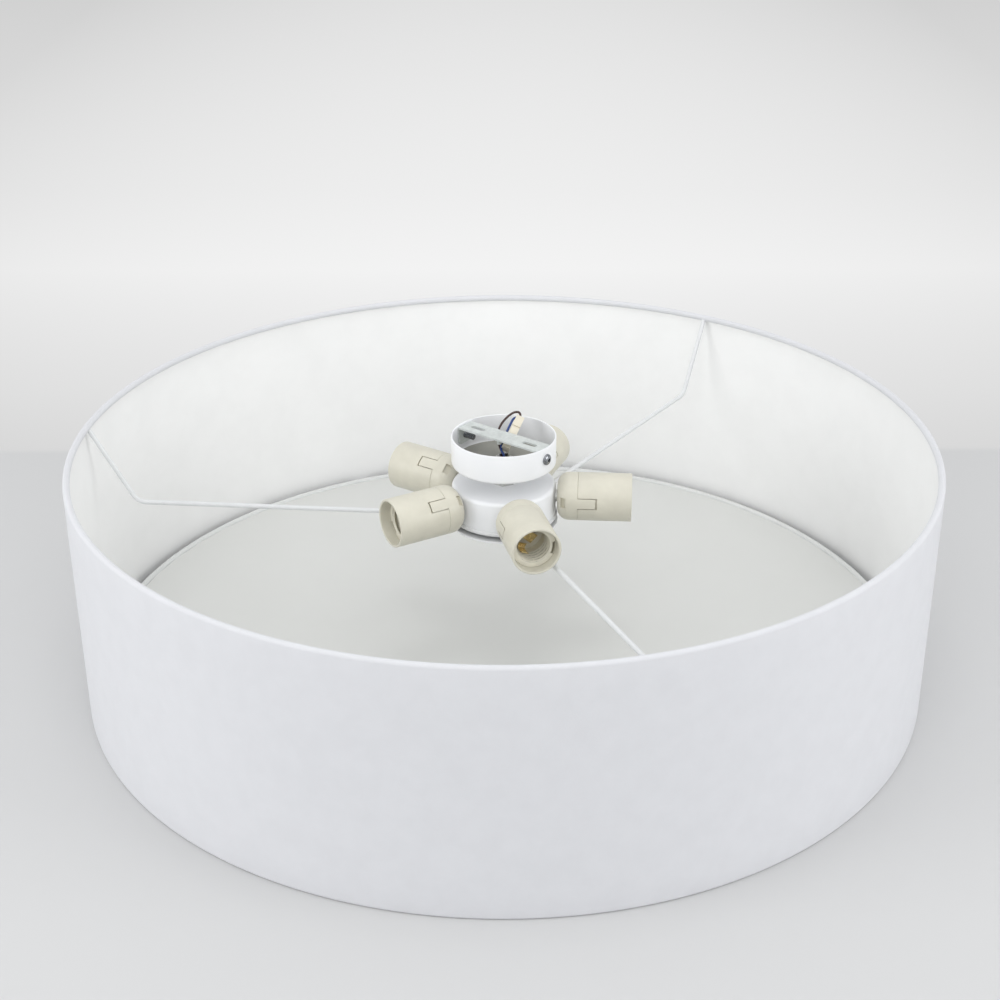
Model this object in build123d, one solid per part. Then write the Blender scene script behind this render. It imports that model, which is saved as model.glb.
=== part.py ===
from build123d import *
from math import atan2, cos, degrees, radians, sin, tan
import os

# A flush ceiling light: a fabric drum shade on a wire spider, a hub of two steel cups with five
# lampholders round the lower one, a ceiling strap on the upper one and a loose lift-out diffuser.
# Millimetres. Z is up, the origin is on the floor under the middle of the shade, and the ceiling
# strap lies along X. Every round place round the hub is an azimuth in degrees, counted from +X.

# Shade
SHADE_OUTER_R = 350.0
SHADE_HEIGHT = 202.0
LAMINATE = 0.6             # fabric on its plastic backing
HEM_DROP = 5.0             # rolled edge, up and down
WIRE_D = 4.0               # rim rings and spider arms
WIRE_PLAY = 0.2            # ring in its hem
SLIT_PLAY = 0.6            # arm in its slit of the hem

# Spider
ARM_AZIMUTHS = (212.0, 93.0, -29.0)
ARM_TAIL = 2.2             # its inner end, past the middle of the center ring
ARM_RISE_RUN = 36.7        # where it turns level, in from the rim ring
ARM_BEND_RADIUS = 12.0
RING_LENGTHS = 60          # straight lengths in a rim ring, for a light mesh
CENTER_RING_LENGTHS = 30

# Hub
CUP_R = 42.8
UPPER_CUP_DEPTH = 24.5
LOWER_CUP_HEADROOM = 3.0   # inside it, over the flats of the lampholders' nuts
CUP_WALL = 1.2
CUP_CORNER = 2.0
CEILING_STAND = 3.0        # edge of the upper cup, over the shade
CUP_GAP = 17.5             # between the two cups
NIPPLE_R = 5.0
NIPPLE_BORE_R = 3.75
NIPPLE_STAND = 2.5         # past the nut on the floor of the upper cup
NIPPLE_TAIL = 9.5          # into the cap nut
WIRE_HOLE_D = 5.5
ROUND_PLAY = 0.1           # radial, round threads and leads
OVERCUT = 3                # cutters, as a share of what they pass through
NUT_ACROSS = 14.0
NUT_THICK = 3.0
SPACER_ACROSS = 17.0
RETAINER_REACH = 2.5       # past the middle of the center ring
RETAINER_THICK = 1.5
CAP_NUT_R = 9.0
CAP_NUT_SIDES = 24         # its grip flats
CAP_NUT_HEIGHT = 12.0
CAP_NUT_EDGE = 1.5

# Ceiling strap
STRAP_WIDTH = 17.0
STRAP_THICK = 1.5
STRAP_SINK = 1.0           # its top under the upper cup's edge
STRAP_DROP = 16.0          # bent ends, from the top
STRAP_BEND_RADIUS = 2.0
STRAP_END_RADIUS = 4.0     # corners of the bent ends
STRAP_PLAY = 0.3           # end against the cup wall
SLOT_SPACING = 52.0
SLOT_LENGTH = 14.0
SLOT_WIDTH = 4.5
SIDE_SCREW_R = 2.5
SIDE_SCREW_LENGTH = 12.0
SIDE_SCREW_SINK = 10.0     # under the upper cup's edge
SCREW_HEAD_R = 4.75
SCREW_HEAD_HEIGHT = 2.8
SCREW_HEAD_CROWN = 1.2
SCREW_HEAD_SLOPE = 55.0
HEX_KEY = 3.0
HEX_DEPTH = 1.6

# Lampholders
HOLDER_AZIMUTHS = (33.0, 105.0, 183.0, 247.5, 321.0)
TONGUE_ROLLS = (84.0, 62.0, -38.5, -48.5, 80.5)   # latch tongue, degrees round the holder from its top
HOLDER_UNDERHANG = 5.6     # how far they reach under the lower cup's edge
HOLDER_R = 19.9
HOLDER_SIDES = 30          # flats that stand for a round, for a light mesh
SMALL_SIDES = 14
HOLDER_WALL = 2.0
HOLDER_STAND = 1.5         # cap off the cup wall
DOME_LENGTH = 17.0
DOME_NECK_R = 10.0
DOME_STEPS = 3
SKIRT_LENGTH = 44.0
MOUTH_DEPTH = 9.0          # from the mouth to the screw shell
SHELL_BORE_R = 13.4
SHELL_BORE_LENGTH = 24.0
SHELL_BACK = 12.0          # solid insert behind the screw shell
INSERT_PLAY = 0.3
INSERT_STAND = 1.0         # off the solid end of the cap
LEAD_HOLE_DEPTH = 6.0
TONGUE_ROOT = 1.0          # shared with the cap's own wall
TONGUE_LENGTH = 14.4
TONGUE_WIDTH = 8.4
TONGUE_SLIT = 0.6
TONGUE_END_SLIT = 1.3
WINDOW_SIZE = (5.0, 8.5)   # along and across the dome, in line with the tongue
WINDOW_DEPTH = 1.5
WINDOW_SLOPE = 35.0
WINDOW_PLACE = (0.55, 0.75)            # along and out, as shares of the dome's corner
HOLDER_NIPPLE_REACH = 5.0  # into the cap
HOLDER_NIPPLE_BACK = 1.0   # past its nut
CONTACT_THICK = 0.6
CENTER_CONTACT = (9.0, 6.5)
CENTER_CONTACT_LIFT = 3.0
WELL_DEPTH = 3.6           # in the floor of the shell, under the center contact
WELL_PLAY = 1.0
SIDE_CONTACT = (11.0, 6.0)
SIDE_CONTACT_TURN = 80.0   # round the holder, from its tongue
SIDE_POCKET_DEPTH = 1.2

# Diffuser, a laminated disc on its own wire ring, and the three tabs that it lies on
DIFFUSER_PLAY = 1.4        # inside the rolled edges
DIFFUSER_BEAD = 5.6
DIFFUSER_Z = 15.5          # middle of its bead
DIFFUSER_THICK = 0.8
TAB_AZIMUTHS = (32.0, 152.0, 272.0)
TAB_WIDTH = 12.0
TAB_THICK = 1.5
TAB_REACH = 10.0

# Wiring
LEAD_R = 0.95
HARNESS_R = 1.7
HARNESS_LOOP_R = 20.0
HARNESS_LENGTHS = 24
RISER_SINK = 3.0           # where the supply leads start, under the nipple's end
LEAD_RISE = 4.0            # straight up out of the nipple
BROWN_START = (-1.3, 0.4)
BROWN_ROUTE = (            # x, y and height from the upper cup's edge
    (-7.8, 4.2, -13.5),
    (-13.6, 8.3, -7.5),
    (-15.0, 12.0, 0.0),
    (-12.4, 19.7, 7.0),
    (-7.8, 26.0, 10.6),
)
BROWN_DEEP = 0.3           # where it goes in, as a share of the block's depth
BROWN_RUN_IN = 4.5
BLUE_START = (1.2, -0.9)
BLUE_ROUTE = (
    (-3.6, -1.3, -14.5),
    (-6.6, 4.9, -10.5),
    (-6.1, 13.2, -2.7),
    (-5.4, 18.9, 1.4),
)
BLUE_DEEP = 0.4
BLUE_UNDER_END = 1.5
BLUE_RUN_IN = (2.2, 4.0)   # out from the block's side and back along it
BLUE_ENTRY = 0.5
BLOCK_SIZE = (6.8, 8.5, 31.0)          # across, deep, long
BLOCK_TOP = (-1.4, 25.5, 7.5)          # middle of its outer face at the top end, from the cup's edge
BLOCK_LENGTH_WAY = Vector(-0.11, 0.807, 0.581)
BLOCK_ACROSS_WAY = Vector(0.828, 0.396, -0.397)
BLOCK_WAISTS = 2
BLOCK_WAIST = (1.0, 1.2)
BLOCK_SCREW_R = 1.6
BLOCK_SCREW_HEIGHT = 2.0
BLOCK_SCREW_SINK = 0.4
EARTH_SCREW_X = -4.5
EARTH_SCREW_R = 2.0
EARTH_SCREW_LENGTH = 8.0
EARTH_NUT_ACROSS = 7.0
EARTH_NUT_THICK = 2.4

# Worked out from the sizes above
ceiling_z = SHADE_HEIGHT + CEILING_STAND
hem_width = WIRE_D + 2 * (LAMINATE + WIRE_PLAY)
hem_inner_r = SHADE_OUTER_R - hem_width
wall_inner_r = SHADE_OUTER_R - LAMINATE
rim_wire_r = (hem_inner_r + LAMINATE + wall_inner_r) / 2
top_wire_z = SHADE_HEIGHT - LAMINATE - WIRE_PLAY - WIRE_D / 2
bottom_wire_z = SHADE_HEIGHT - top_wire_z
arm_bend_r = rim_wire_r - ARM_RISE_RUN
center_ring_r = CUP_R - CUP_WALL / 2
upper_cup_floor = ceiling_z - UPPER_CUP_DEPTH
lower_cup_top = upper_cup_floor - CUP_GAP
holder_rise = HOLDER_R - HOLDER_UNDERHANG
lower_cup_depth = holder_rise + NUT_ACROSS / 2 + LOWER_CUP_HEADROOM + CUP_WALL
lower_cup_edge = lower_cup_top - lower_cup_depth
octagon_flat = cos(radians(22.5))
center_ring_z = lower_cup_edge - WIRE_D / 2 * octagon_flat
arm_z = center_ring_z - WIRE_D * octagon_flat
holder_z = lower_cup_edge + holder_rise
retainer_top = arm_z - WIRE_D / 2 * octagon_flat
cap_nut_top = retainer_top - RETAINER_THICK
nipple_top = upper_cup_floor + CUP_WALL + NUT_THICK + NIPPLE_STAND
holder_back = CUP_R + HOLDER_STAND
holder_joint = holder_back + DOME_LENGTH
holder_mouth = holder_joint + SKIRT_LENGTH
shell_mouth = holder_mouth - MOUTH_DEPTH
shell_floor = shell_mouth - SHELL_BORE_LENGTH
insert_back = shell_floor - SHELL_BACK
well_floor = shell_floor - WELL_DEPTH
strap_top = ceiling_z - STRAP_SINK
strap_half = CUP_R - CUP_WALL - STRAP_PLAY
side_screw_z = ceiling_z - SIDE_SCREW_SINK
diffuser_r = hem_inner_r - DIFFUSER_PLAY
tab_top = DIFFUSER_Z - DIFFUSER_BEAD / 2 * octagon_flat

nodes = {}


def around(azimuth, shape):
    """The shape turned about the light's axis, from +X to an azimuth."""
    return Rot(0, 0, azimuth) * shape


def wire(path, wire_r):
    """Eight-sided wire along a path."""
    start = Plane(origin=path @ 0, z_dir=path % 0)
    return sweep(start * RegularPolygon(wire_r, 8, rotation=22.5), path, transition=Transition.RIGHT)


def bent_wire(points, wire_r):
    """Wire through its points, each bend as wide as the runs beside it allow."""
    runs = [after - before for before, after in zip(points, points[1:])]
    radii = []
    for before, after in zip(runs, runs[1:]):
        half_turn = radians(before.get_angle(after)) / 2
        radii.append(0.45 * min(before.length, after.length) / tan(half_turn))
    return wire(FilletPolyline(*points, radius=radii), wire_r)


def wire_ring(middle_r, z, wire_d, lengths):
    """A ring of bent wire, in short straight lengths."""
    corners = [
        (middle_r * cos(radians(360 * i / lengths)), middle_r * sin(radians(360 * i / lengths)), z)
        for i in range(lengths)
    ]
    return wire(Polyline(*corners, close=True), wire_d / 2)


def hexagon(across, thick):
    """A hexagonal prism on its middle, by its width across the flats."""
    return extrude(RegularPolygon(across / 2, 6, major_radius=False), thick / 2, both=True)


def tapered(radius, sides, height, slope):
    """A many-sided bar on its face, narrowing upwards by a slope in degrees."""
    return extrude(RegularPolygon(radius, sides), height, taper=slope)


def small_round(radius, low, high, across_flats=False):
    """A round bar along Z with few sides, for small pieces."""
    face = RegularPolygon(radius, SMALL_SIDES, major_radius=not across_flats)
    return Pos(0, 0, low) * extrude(face, high - low)


def lock_nut():
    """A thin hexagon nut on its middle, its thread left plain."""
    half = NUT_THICK / 2
    hole = small_round(NIPPLE_R + ROUND_PLAY, -half, half, across_flats=True)
    return hexagon(NUT_ACROSS, NUT_THICK) - hole


# Shade: one laminated wall whose two edges are hooked inwards over the rim rings
def make_shade():
    hem = [
        (SHADE_OUTER_R, SHADE_HEIGHT / 2),
        (SHADE_OUTER_R, SHADE_HEIGHT),
        (hem_inner_r, SHADE_HEIGHT),
        (hem_inner_r, SHADE_HEIGHT - HEM_DROP),
        (hem_inner_r + LAMINATE, SHADE_HEIGHT - HEM_DROP),
        (hem_inner_r + LAMINATE, SHADE_HEIGHT - LAMINATE),
        (wall_inner_r, SHADE_HEIGHT - LAMINATE),
        (wall_inner_r, SHADE_HEIGHT / 2),
    ]
    mirrored = [(r, SHADE_HEIGHT - z) for r, z in hem]
    outline = hem[1:-1] + mirrored[-2:0:-1]
    shade = revolve(Plane.XZ * Polygon(*outline, align=None), Axis.Z)
    slit_width = WIRE_D + SLIT_PLAY
    slit_depth = LAMINATE * OVERCUT / 2
    slit = Pos(hem_inner_r + LAMINATE / 2, 0, SHADE_HEIGHT - HEM_DROP) * Box(
        slit_depth, slit_width, HEM_DROP
    )
    for azimuth in ARM_AZIMUTHS:
        shade -= around(azimuth, slit)
    return shade


# Spider: two rim rings, three bent arms coped to the top ring, and the ring that the hub stands on
def make_arm():
    path = FilletPolyline(
        (center_ring_r - ARM_TAIL, 0, arm_z),
        (arm_bend_r, 0, arm_z),
        (rim_wire_r, 0, top_wire_z),
        radius=ARM_BEND_RADIUS,
    )
    return wire(path, WIRE_D / 2)


def largest(shape):
    return shape.solids().sort_by(SortBy.VOLUME)[-1]


def make_spider():
    # The corners of the rings stand out by half of what their straight lengths cut in
    corner_r = rim_wire_r * (3 - cos(radians(180 / RING_LENGTHS))) / 2
    top_ring = wire_ring(corner_r, top_wire_z, WIRE_D, RING_LENGTHS)
    bottom_ring = wire_ring(corner_r, bottom_wire_z, WIRE_D, RING_LENGTHS)
    center_ring = wire_ring(center_ring_r, center_ring_z, WIRE_D, CENTER_RING_LENGTHS)
    arm = make_arm()
    arms = [around(azimuth, arm) - top_ring - center_ring for azimuth in ARM_AZIMUTHS]
    nodes["top_ring"] = top_ring
    nodes["bottom_ring"] = bottom_ring
    nodes["center_ring"] = center_ring
    nodes["spider_arms"] = Compound([largest(a) for a in arms])


# Hub: two cups on one hollow nipple
def make_cup(depth):
    """A cup that stands open end up, its floor at height zero."""
    outline = [
        (NIPPLE_R + ROUND_PLAY, 0),
        (CUP_R - CUP_CORNER, 0),
        (CUP_R, CUP_CORNER),
        (CUP_R, depth),
        (CUP_R - CUP_WALL, depth),
        (CUP_R - CUP_WALL, CUP_WALL),
        (NIPPLE_R + ROUND_PLAY, CUP_WALL),
    ]
    return revolve(Plane.XZ * Polygon(*outline, align=None), Axis.Z)


def make_hub():
    upper = Pos(0, 0, upper_cup_floor) * make_cup(UPPER_CUP_DEPTH)
    screw_hole = Pos(0, 0, side_screw_z) * Rot(0, 90, 0) * Cylinder(
        SIDE_SCREW_R + ROUND_PLAY, OVERCUT * CUP_R
    )
    nodes["ceiling_cup"] = upper - screw_hole

    lower = Pos(0, 0, lower_cup_top) * Rot(180, 0, 0) * make_cup(lower_cup_depth)
    nipple_hole = Pos(CUP_R, 0, holder_z) * Rot(0, 90, 0) * Cylinder(
        NIPPLE_R + ROUND_PLAY, 2 * OVERCUT * CUP_WALL
    )
    for azimuth in HOLDER_AZIMUTHS:
        lower -= around(azimuth, nipple_hole)
    nodes["holder_cup"] = lower

    nipple_low = cap_nut_top - NIPPLE_TAIL
    hole_r = NIPPLE_R + ROUND_PLAY
    wire_hole = Pos(0, 0, holder_z) * Rot(0, 90, 0) * small_round(WIRE_HOLE_D / 2, 0, 2 * NIPPLE_R)
    nodes["center_nipple"] = (
        small_round(NIPPLE_R, nipple_low, nipple_top)
        - small_round(NIPPLE_BORE_R, nipple_low, nipple_top)
        - wire_hole
    )
    spacer = Pos(0, 0, upper_cup_floor - CUP_GAP / 2) * hexagon(SPACER_ACROSS, CUP_GAP)
    nodes["hub_spacer"] = spacer - small_round(hole_r, lower_cup_top, upper_cup_floor, True)
    retainer = Pos(0, 0, cap_nut_top) * extrude(
        RegularPolygon(center_ring_r + RETAINER_REACH, CENTER_RING_LENGTHS), RETAINER_THICK
    )
    nodes["shade_retainer"] = retainer - small_round(hole_r, cap_nut_top, retainer_top, True)
    cap_nut = Pos(0, 0, cap_nut_top - CAP_NUT_HEIGHT / 2) * extrude(
        RegularPolygon(CAP_NUT_R, CAP_NUT_SIDES), CAP_NUT_HEIGHT / 2, both=True
    )
    cap_nut = chamfer(cap_nut.edges().group_by(Axis.Z)[0], CAP_NUT_EDGE)
    nodes["cap_nut"] = cap_nut - small_round(hole_r, nipple_low - ROUND_PLAY, cap_nut_top, True)

    nut = lock_nut()
    # A flat nut inside a round wall stops where its corners touch
    nut_face = ((CUP_R - CUP_WALL) ** 2 - (NUT_ACROSS / 3**0.5) ** 2) ** 0.5 - ROUND_PLAY / 2
    side_nut = Pos(nut_face - NUT_THICK / 2, 0, holder_z) * Rot(0, 90, 0) * nut
    nuts = [
        Pos(0, 0, upper_cup_floor + CUP_WALL + NUT_THICK / 2) * nut,
        Pos(0, 0, lower_cup_top - CUP_WALL - NUT_THICK / 2) * nut,
    ]
    nuts += [around(azimuth, side_nut) for azimuth in HOLDER_AZIMUTHS]
    nodes["lock_nuts"] = Compound(nuts)

    nipple_low = nut_face - NUT_THICK - HOLDER_NIPPLE_BACK
    nipple_high = holder_back + HOLDER_NIPPLE_REACH
    nipple = small_round(NIPPLE_R, nipple_low, nipple_high)
    nipple = Rot(0, 90, 0) * (nipple - small_round(NIPPLE_BORE_R, nipple_low, nipple_high))
    nipples = [around(azimuth, Pos(0, 0, holder_z) * nipple) for azimuth in HOLDER_AZIMUTHS]
    nodes["holder_nipples"] = Compound(nipples)


# Lampholders, each made lying along +X with its middle on the axis, then put at its place
def prism(radius, low, high):
    """A bar of many sides along +X."""
    face = RegularPolygon(radius, HOLDER_SIDES)
    return Plane.YZ * Pos(0, 0, low) * extrude(face, high - low)


def make_dome():
    corner = HOLDER_R - DOME_NECK_R
    turns = [radians(90 * step / DOME_STEPS) for step in range(DOME_STEPS + 1)]
    radii = [DOME_NECK_R + corner * sin(turn) for turn in turns]
    reaches = [holder_back + corner * (1 - cos(turn)) for turn in turns]
    dome = prism(HOLDER_R, reaches[-1], holder_joint)
    for step in range(DOME_STEPS):
        small, large = radii[step : step + 2]
        near, far = reaches[step : step + 2]
        # The slope of a flat, which lies nearer the axis than the corners do
        slope = degrees(atan2((large - small) * cos(radians(180 / HOLDER_SIDES)), far - near))
        dome += Pos(far, 0, 0) * Rot(0, -90, 0) * tapered(large, HOLDER_SIDES, far - near, slope)
    dome -= prism(HOLDER_R - HOLDER_WALL, insert_back - INSERT_STAND, holder_joint)
    nipple_hole = small_round(NIPPLE_R + ROUND_PLAY, holder_back, insert_back, across_flats=True)
    dome -= Rot(0, 90, 0) * nipple_hole
    along, out = WINDOW_PLACE
    window = Pos(holder_back + corner * along, 0, DOME_NECK_R + corner * out) * Rot(0, -WINDOW_SLOPE, 0)
    # Its cutter passes out through the rounded corner, whatever its size
    cutter = Box(*WINDOW_SIZE, WINDOW_DEPTH + corner)
    dome -= window * Pos(0, 0, (corner - WINDOW_DEPTH) / 2) * cutter
    return dome + make_tongues(TONGUE_LENGTH, TONGUE_WIDTH, holder_joint - TONGUE_ROOT)


def make_tongues(length, width, low):
    """The two opposite latch tongues of a cap, cut from the wall of the skirt."""
    wall = prism(HOLDER_R, low, holder_joint + length)
    wall -= prism(HOLDER_R - HOLDER_WALL, low, holder_joint + length)
    return wall & Pos(holder_joint, 0, 0) * Box(2 * length, width, OVERCUT * HOLDER_R)


def make_skirt():
    skirt = prism(HOLDER_R, holder_joint, holder_mouth)
    skirt -= prism(HOLDER_R - HOLDER_WALL, holder_joint, holder_mouth)
    opening = (TONGUE_LENGTH + TONGUE_END_SLIT, TONGUE_WIDTH + 2 * TONGUE_SLIT)
    return skirt - make_tongues(*opening, holder_joint)


def make_insert():
    radius = HOLDER_R - HOLDER_WALL - INSERT_PLAY
    insert = prism(radius, insert_back, shell_mouth)
    bore = Pos((shell_floor + shell_mouth) / 2, 0, 0) * Rot(0, 90, 0) * Cylinder(
        SHELL_BORE_R, SHELL_BORE_LENGTH
    )
    length, width = SIDE_CONTACT
    pocket = Rot(SIDE_CONTACT_TURN, 0, 0) * Pos(shell_floor + length / 2, 0, SHELL_BORE_R) * Box(
        length, width, 2 * SIDE_POCKET_DEPTH
    )
    leaf_length, leaf_width = CENTER_CONTACT
    well = Pos((well_floor + shell_floor) / 2, 0, 0) * Box(
        WELL_DEPTH, leaf_width + 2 * WELL_PLAY, leaf_length + 2 * WELL_PLAY
    )
    lead_hole = small_round(
        HARNESS_R + ROUND_PLAY, insert_back, insert_back + LEAD_HOLE_DEPTH, across_flats=True
    )
    lead_hole = Rot(0, 90, 0) * lead_hole
    return insert - bore - pocket - well - lead_hole


def make_contacts():
    length, width = CENTER_CONTACT
    foot = Pos(well_floor + CONTACT_THICK / 2, 0, 0) * Box(CONTACT_THICK, width, length)
    leaf = Pos(well_floor + CENTER_CONTACT_LIFT, 0, 0) * Box(CONTACT_THICK, width, length)
    rise = Pos(well_floor + CENTER_CONTACT_LIFT / 2, 0, (CONTACT_THICK - length) / 2) * Box(
        CENTER_CONTACT_LIFT, width, CONTACT_THICK
    )
    side_length, side_width = SIDE_CONTACT
    side = Pos(shell_floor + side_length / 2, 0, SHELL_BORE_R + CONTACT_THICK) * Box(
        side_length, side_width, CONTACT_THICK
    )
    return foot + leaf + rise, Rot(SIDE_CONTACT_TURN, 0, 0) * side


def make_lampholders():
    dome, skirt, insert = make_dome(), make_skirt(), make_insert()
    center_contact, side_contact = make_contacts()
    centers, sides = [], []
    for number, (azimuth, roll) in enumerate(zip(HOLDER_AZIMUTHS, TONGUE_ROLLS), start=1):
        place = Rot(0, 0, azimuth) * Pos(0, 0, holder_z) * Rot(roll, 0, 0)
        nodes[f"holder_cap_{number}"] = place * dome
        nodes[f"holder_skirt_{number}"] = place * skirt
        nodes[f"holder_insert_{number}"] = place * insert
        centers.append(place * center_contact)
        sides.append(place * side_contact)
    nodes["center_contacts"] = Compound(centers)
    nodes["side_contacts"] = Compound(sides)


# Ceiling strap with its side screws
def make_strap():
    low = strap_top - STRAP_DROP
    outer = Pos(0, 0, (low + strap_top) / 2) * Box(2 * strap_half, STRAP_WIDTH, STRAP_DROP)
    inner = Pos(0, 0, (low + strap_top) / 2 - STRAP_THICK) * Box(
        2 * (strap_half - STRAP_THICK), STRAP_WIDTH, STRAP_DROP
    )
    outer = fillet(outer.edges().filter_by(Axis.Y).group_by(Axis.Z)[-1], STRAP_BEND_RADIUS)
    outer = fillet(outer.edges().filter_by(Axis.X).group_by(Axis.Z)[0], STRAP_END_RADIUS)
    strap = outer - inner
    slot = extrude(SlotOverall(SLOT_LENGTH, SLOT_WIDTH), STRAP_THICK, both=True)
    for side in (-1, 1):
        strap -= Pos(side * SLOT_SPACING / 2, 0, strap_top - STRAP_THICK / 2) * slot
    thread = Rot(0, 90, 0) * Cylinder(SIDE_SCREW_R, OVERCUT * CUP_R)
    strap -= Pos(0, 0, side_screw_z) * thread
    strap -= Pos(EARTH_SCREW_X, 0, strap_top) * Cylinder(EARTH_SCREW_R, OVERCUT * STRAP_THICK)
    # The corners of the ends are cut to the round of the cup
    return strap & Pos(0, 0, strap_top) * Cylinder(CUP_R - CUP_WALL - ROUND_PLAY, OVERCUT * STRAP_DROP)


def make_side_screw():
    """A button-head screw along +X, the underside of its head at zero."""
    straight = SCREW_HEAD_HEIGHT - SCREW_HEAD_CROWN
    screw = small_round(SIDE_SCREW_R, -SIDE_SCREW_LENGTH, 0)
    screw += small_round(SCREW_HEAD_R, 0, straight)
    screw += Pos(0, 0, straight) * tapered(
        SCREW_HEAD_R, SMALL_SIDES, SCREW_HEAD_CROWN, SCREW_HEAD_SLOPE
    )
    screw -= Pos(0, 0, SCREW_HEAD_HEIGHT) * hexagon(HEX_KEY, 2 * HEX_DEPTH)
    return Rot(0, 90, 0) * screw


def make_ceiling_fixing():
    nodes["mounting_strap"] = make_strap()
    screw = Pos(CUP_R, 0, side_screw_z) * make_side_screw()
    nodes["side_screws"] = Compound([around(azimuth, screw) for azimuth in (0, 180)])
    shank = small_round(EARTH_SCREW_R, strap_top - EARTH_SCREW_LENGTH, strap_top)
    shank = Pos(EARTH_SCREW_X, 0, 0) * shank
    nut_z = strap_top - STRAP_THICK - EARTH_NUT_THICK / 2
    nut = Pos(EARTH_SCREW_X, 0, nut_z) * hexagon(EARTH_NUT_ACROSS, EARTH_NUT_THICK)
    nodes["earth_screw"] = shank
    nodes["earth_nut"] = nut - shank


# Diffuser and its tabs
def make_diffuser(bottom_ring):
    bead = wire_ring(diffuser_r - DIFFUSER_BEAD / 2, DIFFUSER_Z, DIFFUSER_BEAD, RING_LENGTHS)
    disc = Pos(0, 0, DIFFUSER_Z) * Cylinder(diffuser_r - DIFFUSER_BEAD / 2, DIFFUSER_THICK)
    nodes["diffuser_ring"] = bead
    nodes["diffuser_disc"] = largest(disc - bead)
    leg = Pos(rim_wire_r, 0, (bottom_wire_z + tab_top) / 2) * Box(
        TAB_THICK, TAB_WIDTH, tab_top - bottom_wire_z
    )
    shelf = Pos(rim_wire_r + TAB_THICK / 2 - TAB_REACH / 2, 0, tab_top - TAB_THICK / 2) * Box(
        TAB_REACH, TAB_WIDTH, TAB_THICK
    )
    tabs = [around(azimuth, leg + shelf) - bottom_ring for azimuth in TAB_AZIMUTHS]
    nodes["diffuser_tabs"] = Compound([largest(tab) for tab in tabs])


# Wiring: a loop in the lower cup with a branch to each holder, and the two supply leads
def make_harness(riser_top):
    loop = wire_ring(HARNESS_LOOP_R, holder_z, 2 * HARNESS_R, HARNESS_LENGTHS)
    branch_end = insert_back + LEAD_HOLE_DEPTH - ROUND_PLAY
    branch = wire(Line((HARNESS_LOOP_R, 0, holder_z), (branch_end, 0, holder_z)), HARNESS_R)
    feed_path = FilletPolyline(
        (HARNESS_LOOP_R, 0, holder_z), (0, 0, holder_z), (0, 0, riser_top), radius=NIPPLE_BORE_R
    )
    harness = loop + wire(feed_path, HARNESS_R)
    for azimuth in HOLDER_AZIMUTHS:
        harness += around(azimuth, branch)
    return harness


def make_block(block_plane):
    """The joint block and its clamp screws, sunk in the face that looks at the leads."""
    across, deep, long = BLOCK_SIZE
    block = Box(across, deep, long)
    waist_depth, waist_length = BLOCK_WAIST
    pole = long / (BLOCK_WAISTS + 1)
    for waist in range(BLOCK_WAISTS):
        height = -long / 2 + pole * (waist + 1)
        for side in (1, -1):
            cut = Box(across * 2, waist_depth * 2, waist_length)
            block -= Pos(0, side * deep / 2, height) * cut
    screw = Rot(0, 90, 0) * small_round(BLOCK_SCREW_R, 0, BLOCK_SCREW_HEIGHT)
    well = Rot(0, 90, 0) * small_round(
        BLOCK_SCREW_R + ROUND_PLAY, -BLOCK_SCREW_SINK, BLOCK_SCREW_HEIGHT, across_flats=True
    )
    screws = []
    for number in range(BLOCK_WAISTS + 1):
        place = Pos(BLOCK_SCREW_SINK - across / 2, 0, -long / 2 + pole * (number + 0.5))
        block -= place * well
        screws.append(block_plane * place * screw)
    return block_plane * block, Compound(screws)


def lead_route(start, route, riser_top):
    """Points of a lead from the nipple's bore through its route over the upper cup's edge."""
    x, y = start
    rise = [Vector(x, y, riser_top), Vector(x, y, riser_top + LEAD_RISE)]
    return rise + [Vector(x, y, ceiling_z + z) for x, y, z in route]


def make_wiring():
    riser_top = nipple_top - RISER_SINK
    nodes["holder_harness"] = make_harness(riser_top)

    across, deep, long = BLOCK_SIZE
    long_way = BLOCK_LENGTH_WAY.normalized()
    across_way = (BLOCK_ACROSS_WAY - long_way * BLOCK_ACROSS_WAY.dot(long_way)).normalized()
    deep_way = long_way.cross(across_way)
    block_top = Vector(*BLOCK_TOP) + Vector(0, 0, ceiling_z)
    middle = block_top + deep_way * (deep / 2) - long_way * (long / 2)
    block, screws = make_block(Plane(origin=middle, x_dir=across_way, z_dir=long_way))
    nodes["terminal_block"] = block
    nodes["terminal_screws"] = screws

    # The brown lead goes in at the block's end, the blue one at the side by the same end
    brown_end = block_top + deep_way * (deep * BROWN_DEEP)
    brown = lead_route(BROWN_START, BROWN_ROUTE, riser_top)
    brown += [brown_end + long_way * BROWN_RUN_IN, brown_end]
    blue_end = (
        block_top
        - across_way * (across / 2)
        + deep_way * (deep * BLUE_DEEP)
        - long_way * BLUE_UNDER_END
    )
    blue = lead_route(BLUE_START, BLUE_ROUTE, riser_top)
    blue += [
        blue_end - across_way * BLUE_RUN_IN[0] - long_way * BLUE_RUN_IN[1],
        blue_end + across_way * BLUE_ENTRY,
    ]
    nodes["brown_lead"] = bent_wire(brown, LEAD_R) - block
    nodes["blue_lead"] = bent_wire(blue, LEAD_R) - block


make_spider()
nodes["shade"] = make_shade()
make_hub()
make_lampholders()
make_ceiling_fixing()
make_diffuser(nodes["bottom_ring"])
make_wiring()

os.makedirs("parts", exist_ok=True)
for name, shape in nodes.items():
    shape.label = name
    export_step(shape, f"parts/{name}.step")
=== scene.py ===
from math import asin, cos, pi, radians, sin, tan

import bmesh
import bpy
from mathutils import Matrix, Vector


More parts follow.
